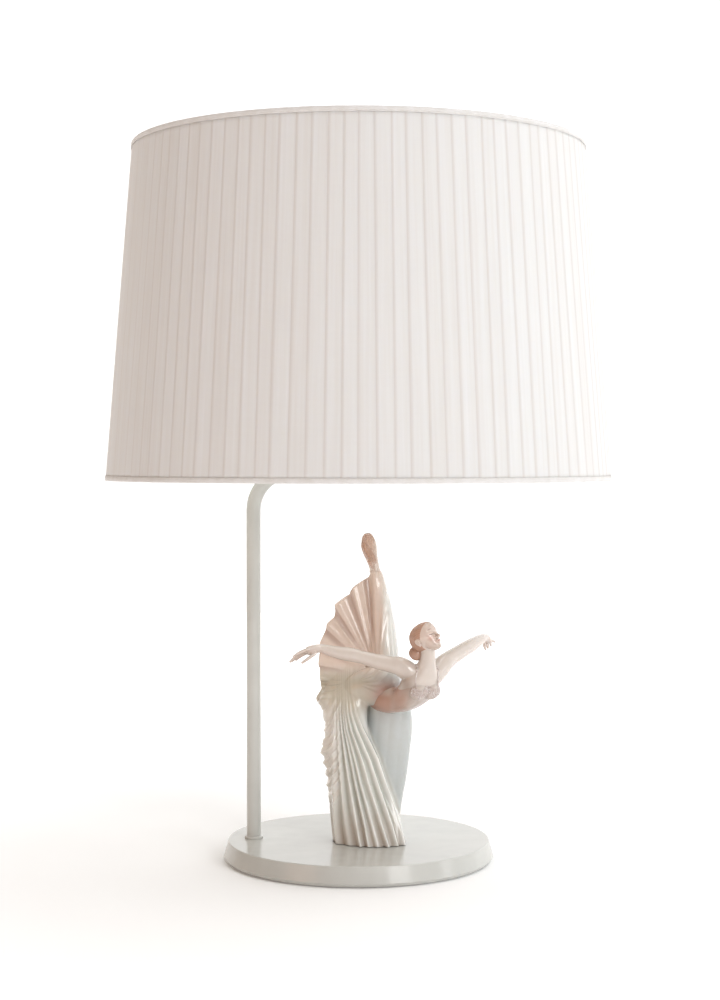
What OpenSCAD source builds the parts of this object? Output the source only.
// Table lamp with a porcelain dancer: a lacquered round base, a bent tube, a pleated drum shade.
// Millimetres. +Z is up, the origin is the centre of the base on the table, and -Y is the front.

/* [Base] */
// Widest diameter, low on the sloping rim
base_d = 241; // [236:1:260]
// Diameter of the flat top face
base_top_d = 233.5; // [226:0.5:234]
// Height of the top face above the table
base_h = 18; // [17:0.5:22]
// Height of the rim's widest edge above the table
base_lip = 4; // [3.5:0.5:5]
// How far the rim tucks in below that edge
base_tuck = 3; // [2:0.5:3.5]
// Shadow gap between the rim and the table
base_gap = 0.8; // [0.5:0.1:1.5]
// Sheet thickness of the pressed steel shell
base_skin = 3; // [2.5:0.5:3.5]

/* [Stem] */
// Distance from the lamp's axis to the upright tube
post_offset = 94; // [90:1:98]
// Outside diameter of the tube
post_d = 12.7; // [12.5:0.1:13.2]
// Wall of the tube
post_wall = 1.2; // [1:0.1:1.3]
// Bend radius at the tube's centre line
bend_r = 35; // [32:1:38]
// Height of the tube's level stretch
arm_z = 347.5; // [346:0.5:352]

/* [Shade] */
// Diameter over the bottom hem
shade_bottom_d = 450; // [420:5:480]
// Diameter over the top hem
shade_top_d = 401; // [380:1:420]
// Height of the bottom hem above the table
shade_z = 339.5; // [338:0.5:341]
// Height of the shade
shade_h = 296; // [280:1:310]

/* [Dancer] */
// Ring segments of the figure's bodies
figure_sides = 40; // [24:4:48]
// Wall of the hollow slip-cast skirt
cast_wall = 4; // [3:0.5:5]

/* [Hidden] */
$fn = 64;
eps = 0.05;             // clearance between parts that only touch
full_turn = 360;

// Names of all the separate pieces

// Base
base_r = base_d / 2;
base_top_r = base_top_d / 2;
under_z = base_h - base_skin;          // underside of the shell's top plate
cover_z = 2;                           // underside of the sheet that closes the base
cover_t = 1.5;
cover_r = base_r - 7.5;
pad_r = cover_r - 2;
pad_band = 14;
boss_r = 4.5;                          // welded bosses that take the cover's screws
boss_ring_r = 88;
screw_r = 2;                           // M4
bolt_r = 3;                            // M6
ballast_r = 70;
ballast_t = 8;
ballast_hole_r = 16;
ballast_screw_ring_r = 55;
cord_r = 3.1;                          // bore for a 6 mm round cord
bush_r = 4.6;
bush_z = 9;
bush_len = 8.5;
bush_y = base_r - bush_len;            // inner end of the cord bush
bush_lip = 1.8;

// Stem
post_r = post_d / 2;
post_bore_r = post_r - post_wall;
stud_r = 5;                            // M10
stud_bore_r = 3.6;
washer_t = 1.6;
nut_h = 5.4;
stud_bottom = 6.5;
bend_z = arm_z - bend_r;               // where the first bend starts
stem_top = arm_z + bend_r + 9.5;       // end of the tube, under the lamp holder
wire_r = 1.1;
wire_gap = 1.3;                        // half the distance between the two wires

// Lamp holder, bulb and rings
cap_h = 22;
cap_r = 19.4;
cap_wall = 1.8;
cap_top = stem_top + cap_h;
shell_h = 38;
thread_pitch = 2.5;
thread_depth = 0.6;
ring_bore_r = cap_r + 0.2;
ring_r = 25.5;
fitter_z = cap_top + 10;               // underside of the shade's centre ring
fitter_t = 1.6;
bulb_r = 13.1;
contact_z = cap_top + 9 + 2 * eps;     // underside of the sprung centre contact
bulb_seat = contact_z + 2.2 + 0.35;     // lower tip of the bulb, just clear of the contact
switch_z = stem_top + 16;
switch_box = [16, 22, 9];              // width, depth and height of the switch's body
shaft_r = 1.6;
knob_r = 5;
knob_h = 12;

// Shade
hem_t = 0.6;
hem_h = 6;
cover_skin = 1;
liner_skin = 0.8;
shade_wire_r = 2;
spoke_r = 1.5;
spokes = 3;
slope = (shade_bottom_d - shade_top_d) / 2 / shade_h;   // how fast the shade narrows

// Dancer
foot_z = base_h + 0.6;                 // the porcelain stands on a thin cork pad
bolt_x = 8;
bolt_y = -12;
across = [0.866, 0.5, 0];              // from the dancer's right to the left

// Skirt stations from the hem to the raised ankle: height, centre x, centre y,
// half width, half depth, turn of the oval
skirt = [
    [foot_z,   8, -16, 36, 27, -14],
    [ 42,      6, -12, 34, 26, -12],
    [ 70,      7,  -7, 37, 26,  -8],
    [100,      9,  -1, 38, 25,  -2],
    [130,      9,   5, 41, 23,   4],
    [155,      6,  11, 41, 19,  10],
    [178,      2,  16, 37, 13,  12],
    [196,      0,  19, 35, 11,  12],
    [214,      3,  21, 30,  9,  12],
    [231,      8,  23, 21,  8,  12],
    [244,     13,  25, 13,  7,  10],
    [256,     17,  27,  6,  6,   8]
];

skirt_top = 256;

// Torso stations from the hips to the neck: x, y, z, half width, half depth
torso = [
    [24,   8, 142, 17, 13],
    [31,  -8, 143, 16, 12],
    [39, -22, 145, 14, 11],
    [48, -35, 151, 17, 13],
    [54, -43, 161, 19, 14],
    [57, -46, 171, 18, 11],
    [58, -48, 178, 10,  8],
    [58, -51, 185,  7,  7],
    [57, -54, 192,  6.5,  6.5]
];

// Arm and foot stations: x, y, z, radius
right_arm = [
    [52, -49, 169, 8], [42, -48, 174, 8], [34, -46, 178, 7.4], [18, -45, 180, 7], [3, -45, 184, 6],
    [-12, -45, 187, 6.2], [-24, -45, 191, 5], [-33, -45, 193, 3.8], [-41, -46, 191, 4.6],
    [-50, -47, 187, 3.6], [-58, -48, 182, 1.6]
];
left_arm = [
    [64, -41, 166, 8], [70, -34, 172, 8], [77, -27, 179, 7.4], [87, -14, 185, 6.6], [97, 0, 189, 5.8],
    [105, 14, 193, 5.8], [112, 26, 196, 4.4], [116, 33, 196, 3.6], [120, 40, 193, 4],
    [124, 46, 189, 2.8], [127, 50, 187, 1.4]
];
foot = [
    [17, 26, 250, 6.4], [16, 27, 258, 5.6], [14, 28, 265, 6.2], [12, 30, 274, 7],
    [9, 32, 284, 5.6], [7.5, 33, 290.5, 2.6]
];

// Helpers: vectors, smooth stations and skins

function unit(v) = v / norm(v);
function at(list, i) = list[max(0, min(len(list) - 1, i))];

// A smooth curve through stations of any length
function blend(a, b, c, d, t) =
    0.5 * (2 * b + (c - a) * t + (2 * a - 5 * b + 4 * c - d) * t * t + (3 * b - a - 3 * c + d) * t * t * t);
function smooth(list, steps) = concat(
    [for (i = [0 : len(list) - 2]) for (k = [0 : steps - 1])
        blend(at(list, i - 1), list[i], list[i + 1], at(list, i + 2), k / steps)],
    [list[len(list) - 1]]
);

function place(s) = [s[0], s[1], s[2]];
function heading(path, i) = unit(at(path, i + 1) - at(path, i - 1));
function oval(c, u, v, a, b, n) = [
    for (k = [0 : n - 1]) let (t = full_turn * k / n) c + a * cos(t) * u + b * sin(t) * v
];

// Rings square to a path; side is roughly the direction of each ring's width
function rings(path, sizes, side, n) = [
    for (i = [0 : len(path) - 1])
        let (d = heading(path, i), v = unit(cross(d, side)), u = cross(v, d))
            oval(path[i], u, v, sizes[i][0], sizes[i][1], n)
];

// A closed skin over rings of equal length
module skin(loops) {
    n = len(loops[0]);
    last = len(loops) - 1;
    polyhedron(
        points = [for (loop = loops) for (p = loop) p],
        faces = concat(
            [[for (k = [0 : n - 1]) k]],
            [for (i = [0 : last - 1]) for (k = [0 : n - 1])
                [i * n + k, (i + 1) * n + k, (i + 1) * n + (k + 1) % n]],
            [for (i = [0 : last - 1]) for (k = [0 : n - 1])
                [i * n + k, (i + 1) * n + (k + 1) % n, i * n + (k + 1) % n]],
            [[for (k = [n - 1 : -1 : 0]) last * n + k]]
        ),
        convexity = 6
    );
}

module limb(stations, side, steps, n) {
    s = smooth(stations, steps);
    skin(rings([for (p = s) place(p)], [for (p = s) [p[3], p[3]]], side, n));
}

module tube(r_out, r_in, h) {
    difference() {
        cylinder(r = r_out, h = h);
        translate([0, 0, -1]) cylinder(r = r_in, h = h + 2);
    }
}

// A wall that follows the shade's slope, between two heights and two distances in from the hem's face
module shade_wall(inset, thickness, z0, z1) {
    r0 = shade_bottom_d / 2 - inset - slope * (z0 - shade_z);
    r1 = shade_bottom_d / 2 - inset - slope * (z1 - shade_z);
    rotate_extrude($fn = 120)
        polygon([[r0 - thickness, z0], [r0, z0], [r1, z1], [r1 - thickness, z1]]);
}

// Base

module on_post() { translate([-post_offset, 0, 0]) children(); }
module on_bolt() { translate([bolt_x, bolt_y, 0]) children(); }
module around(count, r, start = 0) {
    for (k = [0 : count - 1]) rotate(start + k * full_turn / count) translate([r, 0, 0]) children();
}

module base_shell() {
    color("whitesmoke") difference() {
        union() {
            rotate_extrude($fn = 120) polygon([
                [0, under_z], [0, base_h], [base_top_r - 0.6, base_h], [base_top_r, base_h - 0.6],
                [base_r, base_lip], [base_r - base_tuck, base_gap],
                [base_r - base_tuck - base_skin, base_gap], [base_r - base_skin - 0.5, base_lip + 0.5],
                [base_top_r - base_skin, under_z]
            ]);
            around(3, boss_ring_r, 90) translate([0, 0, cover_z + cover_t])
                cylinder(r = boss_r, h = under_z - cover_z - cover_t + 1);
        }
        on_post() translate([0, 0, under_z - 1]) cylinder(r = stud_r + 0.1, h = base_skin + 2);
        on_bolt() translate([0, 0, under_z - 1]) cylinder(r = bolt_r + 0.3, h = base_skin + 2);
        around(3, boss_ring_r, 90) cylinder(r = screw_r, h = under_z - 1);
        around(3, ballast_screw_ring_r, 30) translate([0, 0, under_z - 1])
            cylinder(r = screw_r, h = base_skin);
        translate([0, bush_y - 3, bush_z]) rotate([-90, 0, 0]) cylinder(r = bush_r, h = 20);
    }
}

module ballast_plate() {
    color("dimgray") difference() {
        translate([0, 0, under_z - ballast_t]) cylinder(r = ballast_r, h = ballast_t - eps, $fn = 96);
        on_bolt() cylinder(r = ballast_hole_r, h = base_h);
        around(3, ballast_screw_ring_r, 30) cylinder(r = screw_r + 0.3, h = base_h);
    }
}

module machine_screw(head_r, head_h, shank_r, shank_h) {
    difference() {
        union() {
            cylinder(r = head_r, h = head_h);
            translate([0, 0, head_h - 0.01]) cylinder(r = shank_r, h = shank_h);
        }
        translate([0, 0, -0.1]) cylinder(r = head_r / 2, h = head_h * 0.6, $fn = 6);
    }
}

module ballast_screws() {
    head_r = 3.6;
    head_h = 1.6;
    reach = ballast_t + base_skin - 1.5;
    color("silver") around(3, ballast_screw_ring_r, 30)
        translate([0, 0, under_z - ballast_t - head_h])
            machine_screw(head_r, head_h - eps, screw_r - eps, reach);
}

module bottom_cover() {
    color("dimgray") difference() {
        translate([0, 0, cover_z]) cylinder(r = cover_r, h = cover_t - eps, $fn = 96);
        around(3, boss_ring_r, 90) cylinder(r = screw_r + 0.3, h = base_h);
    }
}

module cover_screws() {
    head_r = 3.8;
    head_h = 1.4;
    reach = 8;
    color("silver") around(3, boss_ring_r, 90)
        translate([0, 0, cover_z - head_h]) machine_screw(head_r, head_h - eps, screw_r - eps, reach);
}

module base_pad() { color("gray") tube(pad_r, pad_r - pad_band, cover_z - 0.01, $fn = 96); }

module cord_bush() {
    color("white") difference() {
        translate([0, bush_y, bush_z]) rotate([-90, 0, 0]) union() {
            cylinder(r = bush_r - eps, h = bush_len + bush_lip);
            translate([0, 0, bush_len]) cylinder(r1 = bush_r + 1.3, r2 = bush_r, h = bush_lip);
        }
        translate([0, bush_y - 1, bush_z]) rotate([-90, 0, 0]) cylinder(r = cord_r, h = bush_len + 4);
    }
}

block_x = -34;
block_y = 84;
block_pitch = 8;
module on_block() { translate([block_x, block_y, cover_z + cover_t + 0.6]) children(); }
module terminal_block() {
    color("white") on_block() difference() {
        translate([-9, -block_pitch, 0]) cube([18, 2 * block_pitch, 9.5]);
        for (side = [-1, 1]) translate([-10, side * block_pitch / 2, 4]) rotate([0, 90, 0])
            cylinder(r = 2.4, h = 20);
        for (side = [-1, 1], end = [-1, 1]) translate([end * 5, side * block_pitch / 2, 4])
            cylinder(r = 2, h = 7);
    }
}

module terminal_clamps() {
    color("gold") on_block() for (side = [-1, 1]) translate([0, side * block_pitch / 2, 4]) {
        difference() {
            rotate([0, 90, 0]) translate([0, 0, -7.5]) cylinder(r = 2.4 - eps, h = 15);
            rotate([0, 90, 0]) translate([0, 0, -8]) cylinder(r = 1.4, h = 16);
        }
        for (end = [-1, 1]) translate([end * 5, 0, 2.2]) cylinder(r = 1.5, h = 2.4);
    }
}

// Stem

module post_collar() {
    color("whitesmoke") on_post() translate([0, 0, base_h]) rotate_extrude() polygon([
        [post_r + eps, 0.02], [post_r + 1.7, 0.02], [post_r + 1.9, 0.4], [post_r + 1.9, 1.6],
        [post_r + 1.4, 2.3], [post_r + 0.6, 2.5], [post_r + eps, 2.5]
    ]);
}

// The tube's shape at a given radius: up, over, along and up again
module stem_solid(r, z0, z1) {
    on_post() translate([0, 0, z0]) cylinder(r = r, h = bend_z - z0);
    translate([bend_r - post_offset, 0, bend_z]) rotate([90, 0, 0])
        rotate_extrude(angle = -90) translate([-bend_r, 0]) circle(r = r);
    translate([bend_r - post_offset, 0, arm_z]) rotate([0, 90, 0])
        cylinder(r = r, h = post_offset - 2 * bend_r);
    translate([-bend_r, 0, arm_z + bend_r]) rotate([90, 0, 0])
        rotate_extrude(angle = -90) translate([bend_r, 0]) circle(r = r);
    translate([0, 0, arm_z + bend_r]) cylinder(r = r, h = z1 - arm_z - bend_r);
}

module post_tube() {
    color("whitesmoke") difference() {
        stem_solid(post_r, base_h + 0.02, stem_top);
        stem_solid(post_bore_r, base_h - 1, stem_top + 1);
    }
}

module post_stud() {
    color("silver") on_post() translate([0, 0, stud_bottom]) tube(stud_r, stud_bore_r, 34);
}

module post_washer() {
    color("silver") on_post() translate([0, 0, under_z - washer_t]) tube(10, stud_r + 0.2, washer_t - eps);
}

module post_nut() {
    color("silver") on_post() translate([0, 0, under_z - washer_t - nut_h]) difference() {
        cylinder(r = 9.8, h = nut_h - eps, $fn = 6);
        translate([0, 0, -1]) cylinder(r = stud_r + eps, h = 8);
    }
}

// Lamp holder

module holder_nipple() {
    color("gold") translate([0, 0, stem_top - 12]) tube(stud_r - 0.05, stud_bore_r, 19);
}

module holder_cap() {
    color("white") difference() {
        translate([0, 0, stem_top]) rotate_extrude() polygon([
            [stud_r, eps], [9, eps], [9.6, 0.6], [9.6, 4], [12, 6], [cap_r - 1, 9.5], [cap_r, 12],
            [cap_r, cap_h], [cap_r - cap_wall, cap_h], [cap_r - cap_wall, 12.5],
            [cap_r - 3, 11], [11.4, 8], [stud_r, 7]
        ]);
        translate([0, 0, switch_z]) rotate([90, 0, 0]) cylinder(r = 2.1, h = 40);
    }
}

// Outer sleeve with a coarse thread for the two shade rings, drawn as plain grooves
grooves = 12;
module holder_shell() {
    inner = cap_r - cap_wall;
    color("white") translate([0, 0, cap_top + eps]) rotate_extrude() polygon(concat(
        [[inner, 0], [cap_r, 0]],
        [for (k = [0 : grooves - 1]) each [
            [cap_r, 3 + k * thread_pitch],
            [cap_r - thread_depth, 3.6 + k * thread_pitch],
            [cap_r - thread_depth, 4.2 + k * thread_pitch],
            [cap_r, 4.8 + k * thread_pitch]
        ]],
        [[cap_r, shell_h - 1], [cap_r - 1, shell_h], [bulb_r + 1.4, shell_h],
         [bulb_r + 1.4, shell_h - 1.6], [inner, shell_h - 1.6]]
    ));
}

module holder_core() {
    color("ivory") difference() {
        translate([0, 0, cap_top + 1]) cylinder(r = cap_r - cap_wall - eps, h = 8);
        for (side = [-1, 1]) translate([0, side * wire_gap, cap_top]) cylinder(r = wire_r + 0.1, h = 4);
        translate([0, 0, cap_top + 6]) cylinder(r = 1.6, h = 5);
    }
}

module holder_screw_shell() {
    floor_z = cap_top + 9 + eps;
    color("gold") translate([0, 0, floor_z]) rotate_extrude() polygon([
        [9.5, 0], [bulb_r + 0.75, 0], [bulb_r + 0.75, 24], [bulb_r + 0.3, 24],
        [bulb_r + 0.3, 0.45], [9.5, 0.45]
    ]);
}

module holder_contact_rivet() {
    color("gold") translate([0, 0, cap_top + 6 + eps]) cylinder(r = 1.5, h = 3);
}

module holder_contact() {
    z = contact_z;
    color("goldenrod") union() {
        translate([-3, -2.2, z]) cube([7.5, 4.4, 0.5]);
        translate([4, -2.2, z]) cube([0.5, 4.4, 2.2]);
        translate([-4, -2.2, z + 1.7]) cube([8.5, 4.4, 0.5]);
    }
}

module shade_ring(z, h, teeth) {
    difference() {
        translate([0, 0, z]) cylinder(r = ring_r, h = h);
        translate([0, 0, z - 1]) cylinder(r = ring_bore_r, h = h + 2);
        around(teeth, ring_r + 0.6, 0) translate([0, 0, z - 1]) cylinder(r = 1.2, h = h + 2, $fn = 16);
    }
}
module shade_ring_lower() { color("white") shade_ring(fitter_z - 6, 6 - eps, 18); }
module shade_ring_upper() { color("white") shade_ring(fitter_z + fitter_t + 2 * eps, 7, 18); }

module switch_body() {
    color("ivory") difference() {
        translate([0, 0, switch_z]) cube(switch_box, center = true);
        translate([0, -3, switch_z]) rotate([90, 0, 0]) cylinder(r = shaft_r + eps, h = 20);
        for (side = [-1, 1]) translate([0, side * wire_gap, switch_z - 6]) cylinder(r = wire_r + 0.1, h = 12);
    }
}

module switch_shaft() {
    color("gold") translate([0, -4, switch_z]) rotate([90, 0, 0]) cylinder(r = shaft_r, h = 30);
}

module switch_knob() {
    color("white") difference() {
        translate([0, -cap_r - 2, switch_z]) rotate([90, 0, 0]) union() {
            cylinder(r = knob_r, h = knob_h);
            translate([0, 0, knob_h - 0.01]) cylinder(r1 = knob_r, r2 = knob_r - 1, h = 1);
        }
        translate([0, -cap_r - 1, switch_z]) rotate([90, 0, 0]) cylinder(r = shaft_r + eps, h = 13.6);
        for (k = [0 : 15]) translate([0, -cap_r - 3.5, switch_z]) rotate([90, 0, 0])
            rotate(k * full_turn / 16) translate([knob_r + 0.35, 0, 0]) cylinder(r = 0.7, h = 14, $fn = 16);
    }
}

// Inner wires: out of the terminal block, along the cover, up the tube and into the holder.
// Each point is x, y, z and half the distance between the two wires.
block_low = cover_z + cover_t + 4.6;
floor_z = 5;
turn_r = 4.5;                          // bend up into the stud
wire_start = smooth([
    [block_x - 6, block_y, block_low, block_pitch / 2], [block_x - 12, block_y, block_low, block_pitch / 2],
    [-52, 83, 7, 2.8], [-61, 77, 5.4, wire_gap], [-68, 66, floor_z, wire_gap], [-72, 50, floor_z, wire_gap],
    [-72, 34, floor_z, wire_gap], [-70, 20, floor_z, wire_gap], [-71, 9, floor_z, wire_gap],
    [-76, 2, floor_z, wire_gap], [-84, 0, floor_z, wire_gap]
], 2);

// A bend in the plane of the tube, between two angles
function bend(cx, cz, r, from, to, steps) = [
    for (k = [0 : steps]) let (a = from + (to - from) * k / steps)
        [cx + r * cos(a), 0, cz + r * sin(a), wire_gap]
];
wire_route = concat(
    wire_start,
    bend(turn_r - post_offset, floor_z + turn_r, turn_r, 270, 180, 4),
    [for (z = [30 : 35 : bend_z - 20]) [-post_offset, 0, z, wire_gap]],
    bend(bend_r - post_offset, bend_z, bend_r, 180, 90, 9),
    bend(-bend_r, arm_z + bend_r, bend_r, 270, 360, 9),
    [[0, 0, stem_top + 8, wire_gap], [0, 0, cap_top + 3, wire_gap]]
);
wire_side = unit([0.7, -0.7, 0.14]);   // square-on to no stretch of the route

wire_points = [for (p = wire_route) place(p)];
function aside(i) = i < len(wire_start) ? unit(cross(heading(wire_points, i), [0, 0, 1])) : [0, 1, 0];

module wire(side) {
    path = [for (i = [0 : len(wire_route) - 1]) wire_points[i] + side * wire_route[i][3] * aside(i)];
    skin(rings(path, [for (p = path) [wire_r, wire_r]], wire_side, 8));
}
module wire_live() { color("saddlebrown") wire(1); }
module wire_neutral() { color("steelblue") wire(-1); }

// Bulb

module bulb_cap() {
    turns = 5;
    color("silver") translate([0, 0, bulb_seat]) rotate_extrude() polygon(concat(
        [[0, 3], [9.6, 3], [bulb_r - 1, 5]],
        [for (k = [0 : turns - 1]) each [
            [bulb_r - 0.9, 5.6 + k * 3.4], [bulb_r, 6.8 + k * 3.4], [bulb_r, 7.4 + k * 3.4]
        ]],
        [[bulb_r - 0.6, 24], [bulb_r - 0.6, 26], [0, 26]]
    ));
}

module bulb_insulator() {
    color("black") translate([0, 0, bulb_seat]) rotate_extrude()
        polygon([[0, 0], [4.4, 0], [4.8, 0.8], [9.4, 3 - eps], [0, 3 - eps]]);
}

globe_r = 30;
globe_wall = 1;
globe_low = -44;                       // angle at which the globe is cut open
body_z = bulb_seat + 26 + eps;
body_h = 26;
body_top_r = 22;
recess_r = 20;
recess_h = 2;
globe_z = body_z + body_h + eps - globe_r * sin(globe_low);

function globe_line(r, from, to, steps) = [
    for (k = [0 : steps]) let (a = from + (to - from) * k / steps) [r * cos(a), globe_z + r * sin(a)]
];
module bulb_body() {
    color("white") translate([0, 0, body_z]) rotate_extrude() polygon([
        [0, 0], [bulb_r - 0.2, 0], [bulb_r + 0.6, 2], [16.5, 10], [body_top_r, body_h - 3],
        [body_top_r, body_h], [recess_r, body_h], [recess_r, body_h - recess_h], [0, body_h - recess_h]
    ]);
}
module bulb_board() {
    board_t = 1.6;
    color("lightgray") translate([0, 0, body_z + body_h - recess_h + eps]) union() {
        cylinder(r = recess_r - eps, h = board_t);
        around(8, 14) translate([-1.4, -1.4, board_t - eps]) cube([2.8, 2.8, 0.8]);
    }
}
module bulb_globe() {
    color([1, 1, 1, 0.8]) rotate_extrude() polygon(concat(
        globe_line(globe_r, globe_low, 90, 20),
        globe_line(globe_r - globe_wall, 90, globe_low, 20)
    ));
}

// Shade

module shade_cover() { color("linen") shade_wall(hem_t, cover_skin, shade_z + 0.7, shade_z + shade_h - 0.7); }
module shade_liner() {
    color("white") shade_wall(hem_t + cover_skin + eps, liner_skin, shade_z + 0.7, shade_z + shade_h - 0.7);
}

ring_inset = 0.7 + shade_wire_r + 0.1;
centre_ring_r = ring_r + 2;
function wire_ring_r(z) =
    shade_bottom_d / 2 - slope * (z - shade_z) - 2 * hem_t - cover_skin - liner_skin - shade_wire_r - 0.3;
module wire_ring(z) {
    translate([0, 0, z]) rotate_extrude($fn = 120) translate([wire_ring_r(z), 0])
        circle(r = shade_wire_r, $fn = 32);
}
module shade_bottom_ring() { color("white") wire_ring(shade_z + ring_inset); }
module shade_top_ring() { color("white") wire_ring(shade_z + shade_h - ring_inset); }

// A ribbon folded over an edge: outside face, edge and inside face
module hem(edge_z, up) {
    stack = hem_t + cover_skin + eps + liner_skin;
    z0 = edge_z;
    z1 = edge_z + up * hem_h;
    zt = edge_z + up * 0.6;
    function r(z, inset) = shade_bottom_d / 2 - inset - slope * (z - shade_z);
    color("white") rotate_extrude($fn = 120) polygon([
        [r(z1, 0), z1], [r(z0, 0), z0], [r(z0, stack + hem_t), z0], [r(z1, stack + hem_t), z1],
        [r(z1, stack + eps), z1], [r(zt, stack + eps), zt], [r(zt, hem_t - eps), zt], [r(z1, hem_t - eps), z1]
    ]);
}
module shade_bottom_hem() { hem(shade_z, 1); }
module shade_top_hem() { hem(shade_z + shade_h, -1); }

module shade_spokes() {
    ring_z = shade_z + ring_inset;
    outer = wire_ring_r(ring_z);
    inner = centre_ring_r - 1;
    rise_z = fitter_z + fitter_t / 2 - ring_z;
    run = outer - inner;
    color("white") difference() {
        for (k = [0 : spokes - 1]) rotate(90 + k * full_turn / spokes)
            translate([outer, 0, ring_z]) rotate([0, -atan2(run, rise_z), 0])
                cylinder(r = spoke_r, h = norm([run, rise_z]), $fn = 24);
        wire_ring(ring_z);
        translate([0, 0, fitter_z - 3]) cylinder(r = centre_ring_r, h = 8);
    }
}

module shade_centre_ring() {
    color("white") translate([0, 0, fitter_z]) tube(centre_ring_r, ring_bore_r + 0.6, fitter_t);
}

// Dancer

function skirt_loops(inset, from, to) = [
    for (s = smooth(skirt, 3)) if (s[0] >= from && s[0] <= to)
        oval([s[1], s[2], s[0]], [cos(s[5]), sin(s[5]), 0], [-sin(s[5]), cos(s[5]), 0],
             s[3] - inset, s[4] - inset, figure_sides)
];

module skirt_form() { skin(skirt_loops(0, foot_z, skirt_top)); }
module torso_form() {
    s = smooth(torso, 3);
    skin(rings([for (p = s) place(p)], [for (p = s) [p[3], p[4]]], across, 28));
}

module dancer_skirt() {
    socket_r = 6.1;
    color("linen") difference() {
        skirt_form();
        skin(skirt_loops(cast_wall, 34, 192));
        on_bolt() translate([0, 0, foot_z - 1]) cylinder(r = socket_r, h = 13, $fn = 48);
    }
}

// The cast pieces are luted together, so each is cut where it meets the last
module dancer_torso() {
    color("mistyrose") difference() {
        torso_form();
        skirt_form();
    }
}

// The head tilts back; the bun sits low at the nape
module dancer_head() {
    color("peachpuff") difference() {
        union() {
            hull() {
                translate([57, -57, 202]) sphere(r = 13, $fn = 32);
                translate([61, -63, 198]) sphere(r = 9, $fn = 32);
            }
            translate([50, -48, 191]) sphere(r = 5.5, $fn = 28);
        }
        torso_form();
    }
}

module dancer_right_arm() {
    color("mistyrose") difference() {
        limb(right_arm, [0, 0, 1], 3, 20);
        torso_form();
    }
}
module dancer_left_arm() {
    color("mistyrose") difference() {
        limb(left_arm, [0, 0, 1], 3, 20);
        torso_form();
    }
}
module dancer_foot() {
    color("mistyrose") difference() {
        limb(foot, [1, 0, 0], 4, 20);
        skirt_form();
    }
}

module dancer_insert() {
    color("gold") on_bolt() translate([0, 0, foot_z + 0.1]) tube(6, bolt_r + eps, 11.5);
}

module dancer_bolt() {
    head_h = 4;
    head_z = under_z - washer_t - head_h - eps;
    color("silver") on_bolt() union() {
        translate([0, 0, head_z]) cylinder(r = 5.7, h = head_h, $fn = 6);
        translate([0, 0, head_z + head_h / 2]) cylinder(r = bolt_r, h = 17);
    }
}
module dancer_washer() {
    color("silver") on_bolt() translate([0, 0, under_z - washer_t]) tube(9, bolt_r + 0.3, washer_t - eps);
}
module dancer_pad() {
    s = skirt[0];
    inset = 8;                         // the cork stops short of the hem all round
    color("tan") translate([0, 0, base_h + 0.02]) difference() {
        translate([s[1], s[2], 0]) rotate(s[5]) linear_extrude(foot_z - base_h - 0.04)
            polygon([for (k = [0 : 47]) [(s[3] - inset) * cos(7.5 * k), (s[4] - inset) * sin(7.5 * k)]]);
        on_bolt() translate([0, 0, -1]) cylinder(r = 7, h = 3);
    }
}

base_shell();
ballast_plate();
ballast_screws();
bottom_cover();
cover_screws();
base_pad();
cord_bush();
terminal_block();
terminal_clamps();
post_collar();
post_tube();
post_stud();
post_washer();
post_nut();
holder_nipple();
holder_cap();
holder_shell();
holder_core();
holder_screw_shell();
holder_contact();
holder_contact_rivet();
shade_ring_lower();
shade_ring_upper();
switch_body();
switch_shaft();
switch_knob();
wire_live();
wire_neutral();
bulb_cap();
bulb_insulator();
bulb_body();
bulb_board();
bulb_globe();
shade_cover();
shade_liner();
shade_top_ring();
shade_bottom_ring();
shade_top_hem();
shade_bottom_hem();
shade_spokes();
shade_centre_ring();
dancer_skirt();
dancer_torso();
dancer_head();
dancer_right_arm();
dancer_left_arm();
dancer_foot();
dancer_insert();
dancer_bolt();
dancer_washer();
dancer_pad();
